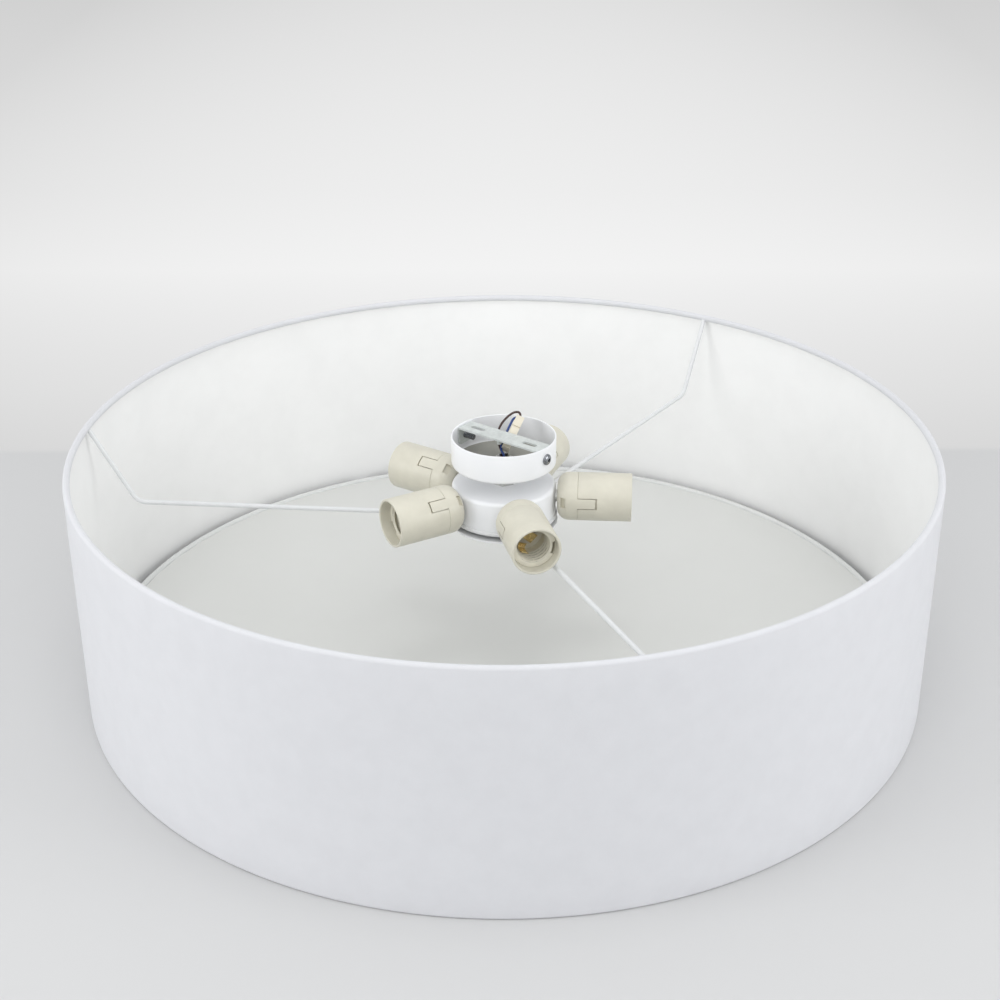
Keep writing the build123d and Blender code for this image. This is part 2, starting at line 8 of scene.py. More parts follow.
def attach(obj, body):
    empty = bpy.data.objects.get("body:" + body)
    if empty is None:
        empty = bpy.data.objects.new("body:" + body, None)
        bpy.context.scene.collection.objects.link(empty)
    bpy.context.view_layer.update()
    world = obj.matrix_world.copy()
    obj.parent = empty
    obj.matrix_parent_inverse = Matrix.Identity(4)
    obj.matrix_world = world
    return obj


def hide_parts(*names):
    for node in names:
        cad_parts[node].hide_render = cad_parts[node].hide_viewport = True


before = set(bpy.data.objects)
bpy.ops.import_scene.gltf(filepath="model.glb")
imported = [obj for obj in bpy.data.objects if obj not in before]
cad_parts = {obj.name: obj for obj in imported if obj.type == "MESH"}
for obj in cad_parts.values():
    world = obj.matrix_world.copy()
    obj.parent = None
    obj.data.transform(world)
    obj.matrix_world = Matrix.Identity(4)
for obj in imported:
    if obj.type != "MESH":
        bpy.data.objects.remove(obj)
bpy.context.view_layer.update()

# A flush ceiling light: a white fabric drum on a wire spider, a hub of two cups with five
# lampholders, a ceiling strap with its wiring, and a loose diffuser. Sizes are in millimetres.
MM = 0.001
scene = bpy.context.scene
FIXTURE, DIFFUSER = "fixture", "diffuser"

# Camera, as fitted to the rims and the hub
CAMERA_AT = (754.4, -1001.2, 766.8)
CAMERA_LENS = 60.87
CAMERA_PITCH = radians(26.34)
CAMERA_YAW = -0.0025
CAMERA_ROLL = -0.0035
VIEW_TURN = radians(37)        # the camera's side of the light, from -Y
BACK_LINE = 0.417              # where the floor meets the backdrop, behind the light, in metres

# Sizes that the CAD nodes have too
SHADE_R, SHADE_TOP, LAMINATE, HEM_R = 350.0, 202.0, 0.6, 2.8
RIM_WIRE_R, RIM_WIRE_Z = 347.2, 199.2
ARM_AZIMUTHS = (212.0, 93.0, -29.0)
ARM_Z, ARM_INNER_R, ARM_BEND_R, ARM_BEND_RADIUS, WIRE_R = 131.96, 40.0, 310.5, 12.0, 2.0
CENTER_RING_R, CENTER_RING_Z = 42.2, 135.65
CUP_R, CUP_WALL, CUP_HOLE_R = 42.8, 1.2, 5.1
UPPER_EDGE, UPPER_FLOOR = 205.0, 180.5
LOWER_TOP, LOWER_EDGE = 163.0, 137.5
HOLDER_AZIMUTHS = (33.0, 105.0, 183.0, 247.5, 321.0)
HOLDER_ROLLS = (84.0, 62.0, -38.5, -48.5, 80.5)
HOLDER_Z, HOLDER_R, HOLDER_WALL = 151.8, 19.9, 2.0
HOLDER_BACK, HOLDER_JOINT, HOLDER_MOUTH = 44.3, 61.3, 105.3
SHELL_MOUTH, SHELL_FLOOR, SHELL_R, THREAD_PITCH = 96.3, 72.3, 13.4, 3.62
INSERT_BACK, INSERT_R, DOME_NECK_R = 60.3, 17.6, 10.0
CAP_INNER_R, CAP_HOLE_R, CAP_WALL = 17.9, 5.2, 2.5
THREAD_START, THREAD_END = SHELL_FLOOR + 7, SHELL_MOUTH - 0.4
THREAD_MEAN, THREAD_WAVE = 0.35, 0.75     # of the bore's radius
# The valleys of the shell's thread, between these distances beyond the bore's radius, are coloured darker:
# painted shade in the grooves
GROOVE_SHADE_R = 0.55, 1.2                      # beyond the bore's radius, between these
BORE_ROWS = 96
TONGUE_LENGTH, TONGUE_HALF, TONGUE_SLIT, TONGUE_END_SLIT = 14.4, 4.2, 0.6, 1.3
SIDE_CONTACT_TURN, CENTER_LEAF_TURN = radians(80), radians(145)
SCREW_HEAD_R, SCREW_LENGTH, SCREW_RIDGES = 4.6, 12.0, 14
SIDE_SCREW_Z = 195.0
LEAD_R = 0.95
CUP_SIDES, HOLDER_SIDES, SHADE_SIDES = 160, 96, 360
BROWN_POINTS = (
    (-1.3, 0.4, 184.2), (-1.3, 0.4, 188.2), (-7.8, 4.2, 191.5), (-13.0, 8.8, 197.5), (-13.9, 13.0, 205.0),
    (-11.4, 20.2, 211.4), (-7.6, 25.8, 214.9), (-4.2, 29.0, 213.6), (-2.8, 26.6, 210.7),
)
BLUE_POINTS = (
    (1.2, -0.9, 184.2), (1.2, -0.9, 188.2), (-2.0, -0.6, 190.2), (-5.0, 3.0, 193.5), (-6.2, 9.9, 199.0),
    (-5.8, 13.7, 203.9), (-6.4, 18.2, 207.1), (-7.0, 22.6, 210.3), (-5.5, 24.6, 210.4),
)
DIFFUSER_R, DIFFUSER_Z, BEAD_R = 343.0, 15.5, 2.8

# Stage, in metres
STAGE_HALF = 6.0
NEAR_LINE, FAR_LINE, LINE_BLUR = -0.6, 3.2, 0.006
# The backdrop's glow dims towards its sides and peaks in a band above the floor line: a painted pool of light
# on the wall
SIDE_FALL, SIDE_LEAST = -0.14, 0.85      # the backdrop dims towards its sides


# ---------------------------------------------------------------- mesh helpers
def finish_mesh(obj, angle=40):
    mesh = obj.data
    mesh.shade_smooth()
    mesh.set_sharp_from_angle(angle=radians(angle))
    return obj


def new_object(name, verts, faces, angle=40):
    """A mesh piece from points in millimetres, its normals turned outwards."""
    mesh = bpy.data.meshes.new(name)
    mesh.from_pydata([Vector(v) * MM for v in verts], [], faces)
    bm = bmesh.new()
    bm.from_mesh(mesh)
    bmesh.ops.remove_doubles(bm, verts=bm.verts, dist=1e-6)
    bmesh.ops.recalc_face_normals(bm, faces=bm.faces)
    bm.to_mesh(mesh)
    bm.free()
    obj = bpy.data.objects.new(name, mesh)
    bpy.context.collection.objects.link(obj)
    return finish_mesh(obj, angle)


def lathe(name, profile, segments, axis="Z", radius_of=None, angle=40):
    """A profile of (radius, height) spun round Z, or round X from +Z."""
    verts, faces = [], []
    rows = len(profile)
    for i in range(segments):
        turn = 2 * pi * i / segments
        for radius, height in profile:
            if radius_of:
                radius = radius_of(radius, height, turn)
            if axis == "Z":
                verts.append((radius * cos(turn), radius * sin(turn), height))
            else:
                verts.append((height, -radius * sin(turn), radius * cos(turn)))
    for i in range(segments):
        j = (i + 1) % segments
        for k in range(rows):
            m = (k + 1) % rows
            if profile[k][0] == 0 and profile[m][0] == 0:
                continue
            faces.append((i * rows + k, i * rows + m, j * rows + m, j * rows + k))
    return new_object(name, verts, faces, angle)


def rounded(points, radius, steps):
    """A path with each inner corner rounded by the radius."""
    points = [Vector(p) for p in points]
    path = [points[0]]
    for before, corner, after in zip(points, points[1:], points[2:]):
        a, b = (before - corner).normalized(), (after - corner).normalized()
        half = a.angle(b) / 2
        if radius <= 0 or half > pi / 2 - 1e-4:
            path.append(corner)
            continue
        reach = radius / tan(half)
        middle = corner + (a + b).normalized() * (radius / sin(half))
        start, end = corner + a * reach, corner + b * reach
        u, v = start - middle, end - middle
        sweep = u.angle(v)
        for step in range(steps + 1):
            t = step / steps
            path.append(middle + (u * sin((1 - t) * sweep) + v * sin(t * sweep)) / sin(sweep))
    path.append(points[-1])
    return path


def rounded_profile(points, radii, steps=5):
    """A closed outline with rounded corners; radii has one for each point."""
    flat = [Vector((r, z, 0)) for r, z in points]
    count = len(flat)
    outline = []
    for i in range(count):
        corner = rounded([flat[i - 1], flat[i], flat[(i + 1) % count]], radii[i], steps)
        outline += [(p.x, p.y) for p in corner[1:-1]]
    return outline


def tube(name, path, radius, sides=20, closed=False):
    """A round bar along a path of points, with flat ends."""
    path = [Vector(p) for p in path]
    count = len(path)
    verts, faces = [], []
    normal = None
    for i, point in enumerate(path):
        after = path[(i + 1) % count] if closed else path[min(i + 1, count - 1)]
        before = path[i - 1] if closed else path[max(i - 1, 0)]
        along = (after - before).normalized()
        if normal is None:
            normal = along.orthogonal().normalized()
        normal = (normal - along * normal.dot(along)).normalized()
        side = along.cross(normal)
        for k in range(sides):
            turn = 2 * pi * k / sides
            verts.append(point + (normal * cos(turn) + side * sin(turn)) * radius)
    for i in range(count if closed else count - 1):
        j = (i + 1) % count
        for k in range(sides):
            m = (k + 1) % sides
            faces.append((i * sides + k, i * sides + m, j * sides + m, j * sides + k))
    if not closed:
        faces.append(tuple(range(sides)))
        faces.append(tuple(range((count - 1) * sides, count * sides)))
    return new_object(name, verts, faces)


def circle(radius, z, count):
    return [(radius * cos(2 * pi * i / count), radius * sin(2 * pi * i / count), z) for i in range(count)]


def block(name, low, high):
    """A box between two corners, for cutting."""
    verts = [(x, y, z) for x in (low[0], high[0]) for y in (low[1], high[1]) for z in (low[2], high[2])]
    faces = [(0, 1, 3, 2), (4, 6, 7, 5), (0, 4, 5, 1), (2, 3, 7, 6), (0, 2, 6, 4), (1, 5, 7, 3)]
    return new_object(name, verts, faces)


def cut(obj, cutters):
    """Cuts pieces out of a mesh and removes them."""
    for cutter in cutters:
        change = obj.modifiers.new("cut", "BOOLEAN")
        change.operation, change.solver, change.object = "DIFFERENCE", "EXACT", cutter
    bpy.context.view_layer.update()
    graph = bpy.context.evaluated_depsgraph_get()
    mesh = bpy.data.meshes.new_from_object(obj.evaluated_get(graph))
    obj.modifiers.clear()
    obj.data = mesh
    mesh.name = obj.name
    for cutter in cutters:
        bpy.data.objects.remove(cutter)
    return finish_mesh(obj)


def join(name, parts):
    """One mesh from several, each kept whole."""
    bm = bmesh.new()
    for part in parts:
        bm.from_mesh(part.data)
        bpy.data.objects.remove(part)
    mesh = bpy.data.meshes.new(name)
    bm.to_mesh(mesh)
    bm.free()
    obj = bpy.data.objects.new(name, mesh)
    bpy.context.collection.objects.link(obj)
    return finish_mesh(obj)


def placed_copy(source, name, matrix):
    obj = bpy.data.objects.new(name, source.data.copy())
    obj.data.name = name
    obj.data.transform(matrix)
    bpy.context.collection.objects.link(obj)
    return obj


def soften(obj, width):
    """Rounds the edges of a piece by a small bevel."""
    bevel = obj.modifiers.new("edges", "BEVEL")
    bevel.width, bevel.segments = width * MM, 2
    bevel.limit_method, bevel.angle_limit = "ANGLE", radians(35)
    bevel.harden_normals = False


# ---------------------------------------------------------------- material helpers
class Look:
    """A Principled material that takes colour variation and bumps in layers."""

    def __init__(self, name, color, roughness, metallic=0.0, **inputs):
        self.material = bpy.data.materials.new(name)
        self.material.use_nodes = True
        self.tree = self.material.node_tree
        self.shader = self.tree.nodes["Principled BSDF"]
        self.shader.inputs["Base Color"].default_value = (*color, 1)
        self.shader.inputs["Roughness"].default_value = roughness
        self.shader.inputs["Metallic"].default_value = metallic
        for key, value in inputs.items():
            self.shader.inputs[key.replace("_", " ").title().replace("Ior", "IOR")].default_value = value
        self.color = color
        self.bump = None

    def node(self, kind, **settings):
        made = self.tree.nodes.new(kind)
        for key, value in settings.items():
            setattr(made, key, value)
        return made

    def link(self, output, target):
        self.tree.links.new(output, target)

    def coordinates(self, scale):
        place = self.node("ShaderNodeTexCoord").outputs["Object"]
        mapping = self.node("ShaderNodeMapping")
        mapping.inputs["Scale"].default_value = scale
        self.link(place, mapping.inputs["Vector"])
        return mapping.outputs["Vector"]

    def noise(self, scale, detail=3.0, roughness=0.5, stretch=(1, 1, 1)):
        made = self.node("ShaderNodeTexNoise")
        made.inputs["Scale"].default_value = scale
        made.inputs["Detail"].default_value = detail
        made.inputs["Roughness"].default_value = roughness
        self.link(self.coordinates(stretch), made.inputs["Vector"])
        return made.outputs["Fac"]

    def ramp(self, value, stops):
        made = self.node("ShaderNodeValToRGB")
        elements = made.color_ramp.elements
        while len(elements) < len(stops):
            elements.new(0.5)
        for element, (place, color) in zip(elements, stops):
            element.position = place
            element.color = (*color, 1) if len(color) == 3 else color
        self.link(value, made.inputs["Fac"])
        return made.outputs["Color"]

    def vary(self, value, low, high, spread=(0.35, 0.65)):
        """The colour moves between two shares of itself."""
        dark, light = ([min(1, c * share) for c in self.color] for share in (low, high))
        stops = [(spread[0], dark), (spread[1], light)]
        self.link(self.ramp(value, stops), self.shader.inputs["Base Color"])

    def raise_by(self, value, distance):
        bump = self.node("ShaderNodeBump")
        bump.inputs["Distance"].default_value = distance * MM
        self.link(value, bump.inputs["Height"])
        if self.bump:
            self.link(self.bump.outputs["Normal"], bump.inputs["Normal"])
        self.link(bump.outputs["Normal"], self.shader.inputs["Normal"])
        self.bump = bump

    def rough_between(self, value, low, high):
        spread = self.node("ShaderNodeMapRange")
        spread.inputs["To Min"].default_value = low
        spread.inputs["To Max"].default_value = high
        self.link(value, spread.inputs["Value"])
        self.link(spread.outputs["Result"], self.shader.inputs["Roughness"])


def math_node(look, operation, first, second=None):
    made = look.node("ShaderNodeMath", operation=operation)
    for socket, value in zip(made.inputs, (first, second)):
        if value is None:
            continue
        if isinstance(value, (int, float)):
            socket.default_value = value
        else:
            look.link(value, socket)
    return made.outputs[0]


def weave(look, pitch, distance):
    """Plain weave on a standing drum: threads run round it and up it."""
    place = look.node("ShaderNodeTexCoord").outputs["Object"]
    split = look.node("ShaderNodeSeparateXYZ")
    look.link(place, split.inputs[0])
    x, y, z = split.outputs
    turn = math_node(look, "ARCTAN2", y, x)
    round_drum = math_node(look, "MULTIPLY", turn, SHADE_R * MM * 2 * pi / (pitch * MM))
    up_drum = math_node(look, "MULTIPLY", z, 2 * pi / (pitch * MM))
    warp = math_node(look, "SINE", round_drum)
    weft = math_node(look, "SINE", up_drum)
    cloth = math_node(look, "MULTIPLY", warp, weft)
    look.raise_by(cloth, distance)


def make_looks():
    looks = {}

    fabric = Look("shade_cloth", (0.71, 0.715, 0.74), 0.92, sheen_weight=0.15)
    fabric.vary(fabric.noise(55, 4, 0.6), 0.975, 1.0)
    weave(fabric, 0.9, 0.05)
    fabric.raise_by(fabric.noise(420, 4, 0.65, (1, 1, 2.2)), 0.10)
    looks["cloth"] = fabric

    # The lining's white is partly its own and partly painted light: it is set brighter than the cloth to
    # stand in for light that shines through the shade onto its inside
    lining = Look("shade_lining", (0.95, 0.95, 0.945), 0.6)
    lining.vary(lining.noise(30, 4, 0.6), 0.975, 1.0)
    weave(lining, 0.9, 0.02)
    lining.raise_by(lining.noise(300, 4, 0.6), 0.05)
    looks["lining"] = lining

    paint = Look("white_paint", (0.90, 0.91, 0.93), 0.32, coat_weight=0.25, coat_roughness=0.2)
    paint.vary(paint.noise(18, 3), 0.97, 1.0)
    paint.raise_by(paint.noise(900, 2), 0.012)
    looks["paint"] = paint

    # The upper cup's floor is coloured a darker olive grey than its white walls
    dark_floor = Look("cup_floor_dark_grey", (0.36, 0.355, 0.32), 0.55)
    dark_floor.vary(dark_floor.noise(90, 4), 0.92, 1.04)
    dark_floor.raise_by(dark_floor.noise(800, 3), 0.01)
    looks["cup_floor"] = dark_floor

    wire = Look("wire_paint", (0.77, 0.78, 0.79), 0.4)
    wire.vary(wire.noise(120, 3), 0.96, 1.0)
    wire.raise_by(wire.noise(1400, 2), 0.01)
    looks["wire"] = wire

    cream = Look("cream_plastic", (0.68, 0.655, 0.555), 0.42, coat_weight=0.05)
    cream.vary(cream.noise(60, 5, 0.6), 0.95, 1.02)
    cream.raise_by(cream.noise(1600, 3), 0.02)
    cream.rough_between(cream.noise(300, 3), 0.36, 0.5)
    looks["cream"] = cream

    olive = Look("insert_plastic", (0.74, 0.71, 0.60), 0.45)
    olive.vary(olive.noise(90, 4), 0.93, 1.03)
    olive.raise_by(olive.noise(1500, 3), 0.02)
    looks["olive"] = olive

    # Painted shade: a darker copy of the insert plastic for the valleys of the shell's thread, where shade
    # would fall
    groove = Look("thread_groove", (0.46, 0.44, 0.36), 0.5)
    groove.vary(groove.noise(90, 4), 0.93, 1.03)
    groove.raise_by(groove.noise(1500, 3), 0.02)
    looks["groove"] = groove

    brass = Look("brass", (1.0, 0.76, 0.36), 0.2, 0.45)
    brass.vary(brass.noise(250, 4), 0.85, 1.05)
    brass.rough_between(brass.noise(500, 3), 0.15, 0.35)
    looks["brass"] = brass

    zinc = Look("zinc_plating", (0.62, 0.62, 0.60), 0.38, 1.0)
    zinc.vary(zinc.noise(200, 4), 0.85, 1.08)
    zinc.rough_between(zinc.noise(700, 4), 0.3, 0.5)
    looks["zinc"] = zinc

    strap = Look("galvanised_sheet", (0.70, 0.735, 0.715), 0.42, 0.3)
    strap.vary(strap.noise(160, 5, 0.7), 0.88, 1.06)
    strap.rough_between(strap.noise(900, 4), 0.34, 0.55)
    strap.raise_by(strap.noise(700, 4, 0.6, (1, 6, 1)), 0.015)
    looks["strap"] = strap

    chrome = Look("dark_plating", (0.30, 0.31, 0.33), 0.18, 1.0)
    chrome.vary(chrome.noise(400, 3), 0.8, 1.15)
    chrome.rough_between(chrome.noise(900, 3), 0.12, 0.3)
    looks["chrome"] = chrome

    sheet = Look("diffuser_cloth", (0.70, 0.705, 0.685), 0.6, sheen_weight=0.1)
    sheet.vary(sheet.noise(12, 5, 0.6), 0.985, 1.0)
    sheet.raise_by(sheet.noise(260, 5, 0.7), 0.05)
    looks["sheet"] = sheet

    wrap = Look("diffuser_wrap", (0.74, 0.75, 0.74), 0.8)
    wrap.vary(wrap.noise(80, 4), 0.96, 1.0)
    wrap.raise_by(wrap.noise(500, 4), 0.05)
    looks["wrap"] = wrap

    terminal = Look("terminal_plastic", (0.74, 0.69, 0.57), 0.35)
    terminal.vary(terminal.noise(150, 4), 0.94, 1.02)
    terminal.raise_by(terminal.noise(1200, 3), 0.02)
    looks["terminal"] = terminal

    for name, color in (
        ("brown", (0.045, 0.016, 0.012)),
        ("blue", (0.02, 0.06, 0.24)),
        ("white", (0.78, 0.78, 0.76)),
    ):
        lead = Look(f"lead_{name}", color, 0.35, coat_weight=0.2)
        lead.vary(lead.noise(300, 3), 0.85, 1.1)
        lead.raise_by(lead.noise(1500, 2), 0.01)
        looks[name] = lead
    return {key: look.material for key, look in looks.items()}


looks = make_looks()


def dress(obj, look, body=FIXTURE, replaced=()):
    """Gives a new piece its material and its body, and hides the nodes that it stands for."""
    obj.data.materials.clear()
    obj.data.materials.append(looks[look])
    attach(obj, body)
    if replaced:
        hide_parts(*replaced)
    return obj


def paint_node(node, look):
    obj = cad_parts[node]
    obj.data.materials.clear()
    obj.data.materials.append(looks[look])
    return obj


# ---------------------------------------------------------------- camera, stage and light
def make_camera():
    pitch, yaw, roll = CAMERA_PITCH, CAMERA_YAW, CAMERA_ROLL
    ahead = Vector((sin(yaw) * cos(pitch), cos(yaw) * cos(pitch), -sin(pitch)))
    level = Vector((cos(yaw), -sin(yaw), 0))
    above = level.cross(ahead)
    side = level * cos(roll) + above * sin(roll)
    top = above * cos(roll) - level * sin(roll)
    basis = Matrix((side, top, -ahead)).transposed()
    turn = Matrix.Rotation(VIEW_TURN, 3, "Z")
    data = bpy.data.cameras.new("camera")
    data.sensor_width, data.lens = 36, CAMERA_LENS
    data.clip_start, data.clip_end = 0.01, 100
    camera = bpy.data.objects.new("camera", data)
    bpy.context.collection.objects.link(camera)
    camera.matrix_world = Matrix.Translation(Vector(CAMERA_AT) * MM) @ (turn @ basis).to_4x4()
    scene.camera = camera


def seen_directly(look):
    """1 for rays that show the background: from the camera, a reflection or through glass."""
    path = look.node("ShaderNodeLightPath")
    some = math_node(look, "MAXIMUM", path.outputs["Is Camera Ray"], path.outputs["Is Glossy Ray"])
    return math_node(look, "MAXIMUM", some, path.outputs["Is Transmission Ray"])


def make_stage():
    """A pale floor whose far part, behind the light, reads as the backdrop."""
    half = STAGE_HALF / MM
    corners = [(-half, -half, 0), (half, -half, 0), (half, half, 0), (-half, half, 0)]
    floor = new_object("floor", corners, [(0, 1, 2, 3)])
    floor.rotation_euler.z = VIEW_TURN
    look = Look("floor", (0.7, 0.7, 0.69), 0.9)
    place = look.node("ShaderNodeTexCoord").outputs["Object"]
    split = look.node("ShaderNodeSeparateXYZ")
    look.link(place, split.inputs[0])
    across, away = split.outputs[0], split.outputs[1]

    near = look.node("ShaderNodeMapRange")
    near.inputs["From Min"].default_value = NEAR_LINE
    near.inputs["From Max"].default_value = BACK_LINE
    look.link(away, near.inputs["Value"])
    near_color = look.ramp(near.outputs["Result"], FLOOR_STOPS)
    look.link(near_color, look.shader.inputs["Base Color"])

    # Painted light: the backdrop's glow rises to a bright band away from the floor line and dims towards the
    # sides
    far = look.node("ShaderNodeMapRange")
    far.inputs["From Min"].default_value = BACK_LINE
    far.inputs["From Max"].default_value = FAR_LINE
    look.link(away, far.inputs["Value"])
    far_color = look.ramp(far.outputs["Result"], BACKDROP_STOPS)
    off = math_node(look, "MULTIPLY", across, across)
    fall = math_node(look, "MULTIPLY_ADD", off, SIDE_FALL)
    fall.node.inputs[2].default_value = 1.0
    fall = math_node(look, "MAXIMUM", fall, SIDE_LEAST)
    glow = look.node("ShaderNodeEmission")
    look.link(far_color, glow.inputs["Color"])
    look.link(fall, glow.inputs["Strength"])

    beyond = look.node("ShaderNodeMapRange")
    beyond.inputs["From Min"].default_value = BACK_LINE - LINE_BLUR
    beyond.inputs["From Max"].default_value = BACK_LINE + LINE_BLUR
    look.link(away, beyond.inputs["Value"])
    share = math_node(look, "MULTIPLY", beyond.outputs["Result"], seen_directly(look))
    mix = look.node("ShaderNodeMixShader")
    look.link(share, mix.inputs[0])
    look.link(look.shader.outputs[0], mix.inputs[1])
    look.link(glow.outputs[0], mix.inputs[2])
    look.link(mix.outputs[0], look.tree.nodes["Material Output"].inputs["Surface"])
    floor.data.materials.append(look.material)


def gray(value):
    """The linear colour of a grey of 0 to 255."""
    share = value / 255
    linear = ((share + 0.055) / 1.055) ** 2.4
    return (linear, linear, linear)


FLOOR_STOPS = [(0.0, gray(206)), (0.5, gray(206)), (1.0, gray(208))]
# The backdrop's painted light: brighter in a band above the floor line, dimmer below it and far above
BACKDROP_STOPS = [(0.0, gray(220)), (0.06, gray(228)), (0.22, gray(243)), (0.36, gray(238)), (1.0, gray(225))]


def area_lamp(name, place, size, power):
    """A soft square lamp that shines on the light's middle, placed in the camera's own frame."""
    place, target = Matrix.Rotation(VIEW_TURN, 3, "Z") @ Vector(place), Vector((0, 0, 0.1))
    data = bpy.data.lights.new(name, "AREA")
    data.shape, data.size, data.energy = "SQUARE", size, power
    lamp = bpy.data.objects.new(name, data)
    lamp.location = place
    lamp.rotation_mode = "QUATERNION"
    lamp.rotation_quaternion = (target - place).to_track_quat("-Z", "Y")
    bpy.context.collection.objects.link(lamp)


def make_light():
    world = bpy.data.worlds.new("world")
    scene.world = world
    world.use_nodes = True
    tree = world.node_tree
    background = tree.nodes["Background"]
    background.inputs["Color"].default_value = (0.97, 0.985, 1.0, 1)
    background.inputs["Strength"].default_value = 0.68
    shown = tree.nodes.new("ShaderNodeBackground")
    shown.inputs["Color"].default_value = (*gray(226), 1)
    path = tree.nodes.new("ShaderNodeLightPath")
    mix = tree.nodes.new("ShaderNodeMixShader")
    tree.links.new(path.outputs["Is Camera Ray"], mix.inputs[0])
    tree.links.new(background.outputs[0], mix.inputs[1])
    tree.links.new(shown.outputs[0], mix.inputs[2])
    tree.links.new(mix.outputs[0], tree.nodes["World Output"].inputs["Surface"])
    area_lamp("lamp_over", (0.0, 0.0, 2.4), 3.0, 12)
    area_lamp("lamp_key", (0.0, -0.2, 2.3), 0.5, 2.5)
    area_lamp("lamp_front", (0.0, -1.9, 1.8), 2.0, 12.5)
    area_lamp("lamp_left", (-2.1, -0.9, 0.75), 1.2, 17)
    area_lamp("lamp_right", (2.1, -0.9, 0.75), 1.2, 15.5)
    scene.view_settings.view_transform = "Standard"


# ---------------------------------------------------------------- shade
def make_shade():
    """The drum: a thin laminate rolled inwards over both rim rings."""
    roll = []
    # From the outer wall over the top and in, then tucked under against the wall
    for step in range(15):
        turn = radians(step * 270 / 14)
        roll.append((RIM_WIRE_R + HEM_R * cos(turn), RIM_WIRE_Z + HEM_R * sin(turn)))
    inner = SHADE_R - LAMINATE
    top = roll + [(inner, RIM_WIRE_Z - HEM_R - 1.0)]
    levels = [20 + 20 * i for i in range(9)]
    bottom = [(r, SHADE_TOP - z) for r, z in reversed(top)]
    profile = top + [(inner, z) for z in reversed(levels)] + bottom + [(SHADE_R, z) for z in levels]
    shade = lathe("shade_drum", profile, SHADE_SIDES, angle=50)
    shade.data.materials.append(looks["cloth"])
    # The outside and the rolled hems take the cloth; the inside takes the brighter lining, which carries
    # painted light
    shade.data.materials.append(looks["lining"])
    for face in shade.data.polygons:
        center = face.center
        out = center.x * face.normal.x + center.y * face.normal.y > 0
        rolled = min(center.z, SHADE_TOP * MM - center.z) < 6 * MM
        face.material_index = 0 if out or rolled else 1
    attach(shade, FIXTURE)
    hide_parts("shade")


# ---------------------------------------------------------------- spider
def make_spider():
    arm_path = rounded(
        [(ARM_INNER_R, 0, ARM_Z), (ARM_BEND_R, 0, ARM_Z), (RIM_WIRE_R, 0, RIM_WIRE_Z)],
        ARM_BEND_RADIUS, 10,
    )
    arms = []
    for azimuth in ARM_AZIMUTHS:
        arm = tube("arm", arm_path, WIRE_R)
        arm.data.transform(Matrix.Rotation(radians(azimuth), 4, "Z"))
        arms.append(arm)
    dress(join("arms", arms), "wire", replaced=["spider_arms"])
    ring = tube("hub_ring", circle(CENTER_RING_R, CENTER_RING_Z, 96), WIRE_R, closed=True)
    dress(ring, "wire", replaced=["center_ring"])
    for node in ("top_ring", "bottom_ring"):
        paint_node(node, "wire")


# ---------------------------------------------------------------- hub
def make_hub():
    upper = rounded_profile(
        [(CUP_HOLE_R, UPPER_FLOOR), (CUP_R, UPPER_FLOOR), (CUP_R, UPPER_EDGE),
         (CUP_R - CUP_WALL, UPPER_EDGE), (CUP_R - CUP_WALL, UPPER_FLOOR + CUP_WALL),
         (CUP_HOLE_R, UPPER_FLOOR + CUP_WALL)],
        [0, 2.6, 0.45, 0.45, 1.4, 0],
    )
    upper_cup = lathe("upper_cup", upper, CUP_SIDES)
    hole = lathe("hole", [(0, -60), (2.6, -60), (2.6, 60), (0, 60)], 24, axis="X")
    hole.data.transform(Matrix.Translation((0, 0, SIDE_SCREW_Z * MM)))
    upper_cup = dress(cut(upper_cup, [hole]), "paint", replaced=["ceiling_cup"])
    # The top face of the floor inside the upper cup takes the darker olive grey
    upper_cup.data.materials.append(looks["cup_floor"])
    for face in upper_cup.data.polygons:
        if abs(face.center.z - (UPPER_FLOOR + CUP_WALL) * MM) < 0.4 * MM and face.normal.z > 0.5:
            face.material_index = 1

    lower = rounded_profile(
        [(CUP_HOLE_R, LOWER_TOP), (CUP_R, LOWER_TOP), (CUP_R, LOWER_EDGE),
         (CUP_R - CUP_WALL, LOWER_EDGE), (CUP_R - CUP_WALL, LOWER_TOP - CUP_WALL),
         (CUP_HOLE_R, LOWER_TOP - CUP_WALL)],
        [0, 3.2, 0.45, 0.45, 2.0, 0],
    )
    lower_cup = lathe("lower_cup", lower, CUP_SIDES)
    holes = []
    for azimuth in HOLDER_AZIMUTHS:
        hole = lathe("hole", [(0, 36), (CUP_HOLE_R, 36), (CUP_HOLE_R, 46), (0, 46)], 24, axis="X")
        hole.data.transform(
            Matrix.Rotation(radians(azimuth), 4, "Z") @ Matrix.Translation((0, 0, HOLDER_Z * MM))
        )
        holes.append(hole)
    dress(cut(lower_cup, holes), "paint", replaced=["holder_cup"])

    for node, look in (
        ("shade_retainer", "paint"), ("cap_nut", "paint"), ("hub_spacer", "zinc"),
        ("center_nipple", "zinc"), ("holder_nipples", "zinc"), ("lock_nuts", "zinc"),
        ("mounting_strap", "strap"), ("earth_screw", "strap"), ("earth_nut", "brass"),
        ("terminal_block", "terminal"), ("terminal_screws", "brass"),
        ("holder_harness", "white"), ("diffuser_tabs", "wire"),
    ):
        obj = paint_node(node, look)
        if node in ("cap_nut", "mounting_strap", "terminal_block", "shade_retainer"):
            soften(obj, 0.25)
    make_side_screws()
    for look, points in (("brown", BROWN_POINTS), ("blue", BLUE_POINTS)):
        dress(smooth_bar(f"{look}_wire", points, LEAD_R), look, replaced=[f"{look}_lead"])


